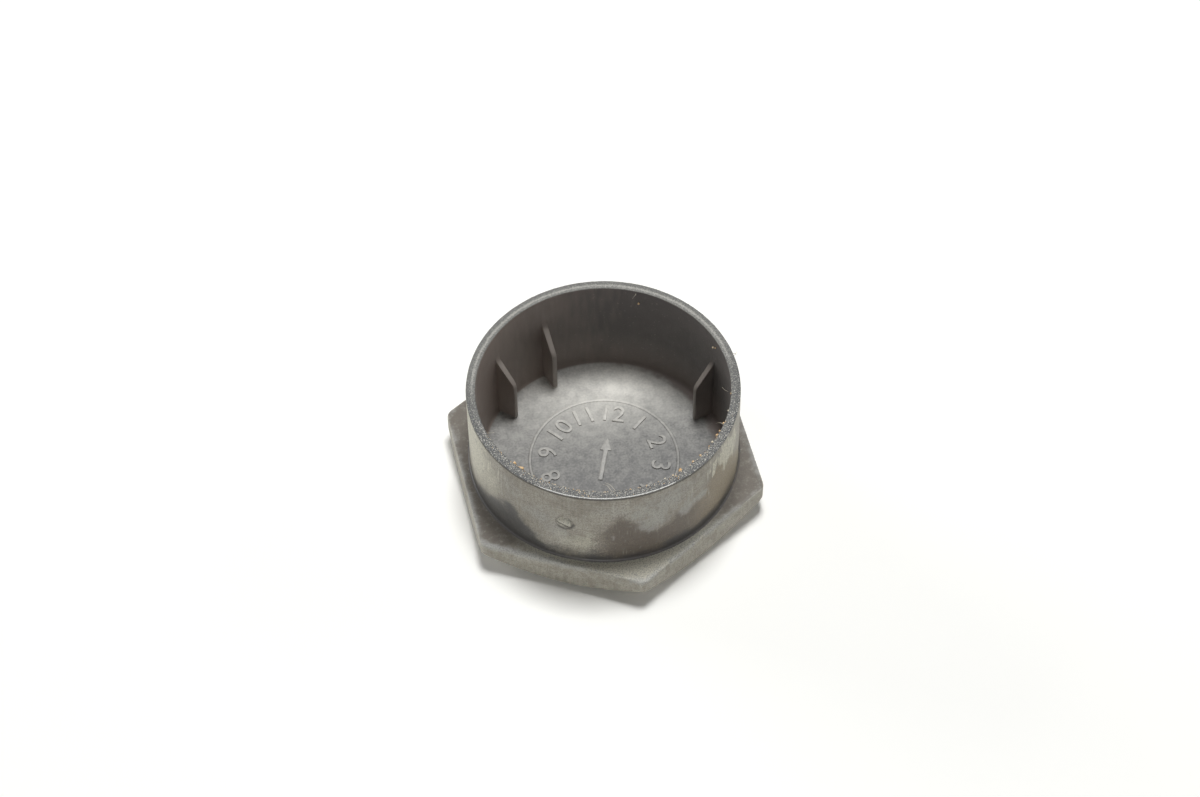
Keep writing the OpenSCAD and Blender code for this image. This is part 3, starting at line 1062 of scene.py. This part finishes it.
def sand_grain(name, dark, pale):
    """Mineral sand, quartz of IOR 1.54: dull angular grains whose tint changes over 0.3 mm."""
    material, node, place = new_material(name, {"IOR": 1.54, "Roughness": 0.4})
    tint = node("TexNoise", {"Vector": place, "Scale": 1 / (0.3 * MM), "Detail": 1})
    tint = node("MapRange", {"Value": tint, "From Min": 0.3, "From Max": 0.55})
    colour = node("Mix", {0: tint, 6: linear(dark), 7: linear(pale)}, data_type="RGBA", output=2)
    return finish_material(material, {"Base Color": colour})


def lint_fibre(c):
    """Cotton lint, of IOR 1.55: a soft pale hair, whose tone changes over 0.4 mm of its length."""
    material, node, place = new_material("cotton_lint", {"IOR": 1.55, "Roughness": 0.7})
    tint = node("TexNoise", {"Vector": place, "Scale": 1 / (0.4 * MM), "Detail": 1})
    colour = node("Mix", {0: tint, 6: linear(c.fibre), 7: linear(c.quartz)},
        data_type="RGBA", output=2)
    return finish_material(material, {"Base Color": colour})


# The studio


def white_paper(stage):
    """Matt white paper. The camera sees it brighter than it lights the cap, so that it is white right
    up to the cap's own close shadow."""
    material = bpy.data.materials.new("matt_white_paper")
    material.use_nodes = True
    tree = material.node_tree
    node = partial(add_node, tree)
    seen = node("LightPath", output="Is Camera Ray")
    bright = [stage.paper_gain * value for value in linear(stage.paper)]
    colour = node("Mix", {0: seen, 6: linear(stage.paper), 7: bright},
        data_type="RGBA", clamp_factor=True, output=2)
    shade = node("BsdfDiffuse", {"Color": colour})
    tree.links.new(shade, tree.nodes["Material Output"].inputs["Surface"])
    tree.nodes.remove(tree.nodes["Principled BSDF"])
    return material


def lay_paper(stage):
    """The paper: one flat sheet, far wider than the view."""
    bm = bmesh.new()
    bmesh.ops.create_grid(bm, x_segments=2, y_segments=2, size=3.0)
    mesh = bpy.data.meshes.new("paper")
    bm.to_mesh(mesh)
    bm.free()
    mesh.materials.append(white_paper(stage))
    floor = bpy.data.objects.new("paper", mesh)
    bpy.context.scene.collection.objects.link(floor)


def light_world(level):
    """A white tent: even light all round, and plain white to the camera and in reflections."""
    world = bpy.data.worlds.new("white_tent")
    world.use_nodes = True
    tree = world.node_tree
    node = partial(add_node, tree)
    camera = node("LightPath", output="Is Camera Ray")
    glossy = node("LightPath", output="Is Glossy Ray")
    through = node("LightPath", output="Is Transmission Ray")
    seen = node("Math", {0: glossy, 1: through}, operation="MAXIMUM")
    seen = node("Math", {0: camera, 1: seen}, operation="MAXIMUM")
    strength = node("MapRange", {"Value": seen, "To Min": level, "To Max": 1.0})
    tree.links.new(strength, tree.nodes["Background"].inputs["Strength"])
    tree.nodes["Background"].inputs["Color"].default_value = (1, 1, 1, 1)
    bpy.context.scene.world = world


def hang_lamp(name, bearing, elevation, distance, size, power):
    """A square soft lamp that faces the cap and isn't seen itself."""
    lamp = bpy.data.lights.new(name, "AREA")
    lamp.size = size
    lamp.energy = power
    light = bpy.data.objects.new(name, lamp)
    rise = math.radians(elevation)
    light.location = at_bearing(bearing, distance * math.cos(rise), distance * math.sin(rise))
    light.rotation_euler = light.location.to_track_quat("Z", "Y").to_euler()
    light.visible_camera = False
    bpy.context.scene.collection.objects.link(light)


def place_camera(g):
    """A camera that looks at its aim from its distance, rolled a little about its own axis."""
    data = bpy.data.cameras.new("camera")
    data.sensor_width = 36
    data.lens = g.lens
    data.clip_start = 0.01
    camera = bpy.data.objects.new("camera", data)
    level = Vector((math.cos(g.azimuth), math.sin(g.azimuth), 0))
    forward = level * math.cos(g.elevation) - Vector((0, 0, math.sin(g.elevation)))
    right = Vector((level.y, -level.x, 0))
    down = forward.cross(right)
    across = right * math.cos(g.roll) + down * math.sin(g.roll)
    up = right * math.sin(g.roll) - down * math.cos(g.roll)
    place = Vector(g.aim) - forward * g.distance
    facing = Matrix((across, up, -forward)).transposed().to_4x4()
    camera.matrix_world = Matrix.Translation(place) @ facing
    bpy.context.scene.collection.objects.link(camera)
    bpy.context.scene.camera = camera


# Operators and panel


class CAP_OT_moulding(bpy.types.Operator):
    """Model the moulded cap and finish it"""

    bl_idname = "bolt_cap.moulding"
    bl_label = "Moulded Cap"

    def execute(self, context):
        scene = context.scene
        colours, sizes = scene.cap_colours, scene.cap_sizes
        finishes = [weathered_nylon(colours), granular_rim(colours, sizes), cup_inside(colours, sizes)]
        model_moulding(sizes, finishes)
        return {"FINISHED"}


class CAP_OT_dial(bpy.types.Operator):
    """Model the dial of plain numbers on the cup's floor"""

    bl_idname = "bolt_cap.dial"
    bl_label = "Floor Dial"

    def execute(self, context):
        material = bpy.data.materials.get("satin_moulded_nylon")
        if not material:
            raise RuntimeError("The moulding comes before its dial")
        model_dial(context.scene.dial_sizes, context.scene.cap_sizes.floor_t, material)
        return {"FINISHED"}


class CAP_OT_sand(bpy.types.Operator):
    """Scatter the sand that clings to the rim"""

    bl_idname = "bolt_cap.sand"
    bl_label = "Sand Grains"

    def execute(self, context):
        scene = context.scene
        colours = scene.cap_colours
        tan = sand_grain("tan_quartz_sand", colours.dark_sand, colours.sand)
        pale = sand_grain("pale_quartz_sand", colours.sand, colours.quartz)
        model_sand(scene.dirt_sizes, scene.cap_sizes, [tan, pale])
        return {"FINISHED"}


class CAP_OT_fibres(bpy.types.Operator):
    """Lay the fibres that cling to the cap"""

    bl_idname = "bolt_cap.fibres"
    bl_label = "Fibres"

    def execute(self, context):
        scene = context.scene
        model_fibres(scene.dirt_sizes, lint_fibre(scene.cap_colours))
        return {"FINISHED"}


class CAP_OT_stage(bpy.types.Operator):
    """Set up the paper, the light and the camera"""

    bl_idname = "bolt_cap.stage"
    bl_label = "Studio"

    def execute(self, context):
        stage = context.scene.cap_stage
        lay_paper(stage)
        light_world(stage.tent_level)
        for name, lamp in LAMPS.items():
            hang_lamp(name, *lamp)
        place_camera(stage)
        context.scene.view_settings.view_transform = "Standard"
        return {"FINISHED"}


class CAP_PT_panel(bpy.types.Panel):
    """Lists the steps that make the cap"""

    bl_label = "Lug Bolt Cap"
    bl_idname = "CAP_PT_panel"
    bl_space_type = "VIEW_3D"
    bl_region_type = "UI"
    bl_category = "Bolt Cap"

    def draw(self, context):
        for operator in OPERATORS:
            self.layout.operator(operator.bl_idname)


OPERATORS = (CAP_OT_moulding, CAP_OT_dial, CAP_OT_sand, CAP_OT_fibres, CAP_OT_stage)
GROUPS = {"cap_sizes": CapSizes, "dial_sizes": DialSizes, "dirt_sizes": DirtSizes,
    "cap_colours": CapColours, "cap_stage": StageSettings}


def register():
    for item in (*GROUPS.values(), *OPERATORS, CAP_PT_panel):
        bpy.utils.register_class(item)
    for name, group in GROUPS.items():
        setattr(bpy.types.Scene, name, PointerProperty(type=group))


def unregister():
    for name in GROUPS:
        delattr(bpy.types.Scene, name)
    for item in reversed((*GROUPS.values(), *OPERATORS, CAP_PT_panel)):
        bpy.utils.unregister_class(item)


def main():
    register()
    bpy.ops.bolt_cap.moulding()
    bpy.ops.bolt_cap.dial()
    bpy.ops.bolt_cap.sand()
    bpy.ops.bolt_cap.fibres()
    bpy.ops.bolt_cap.stage()


if __name__ == "__main__":
    main()
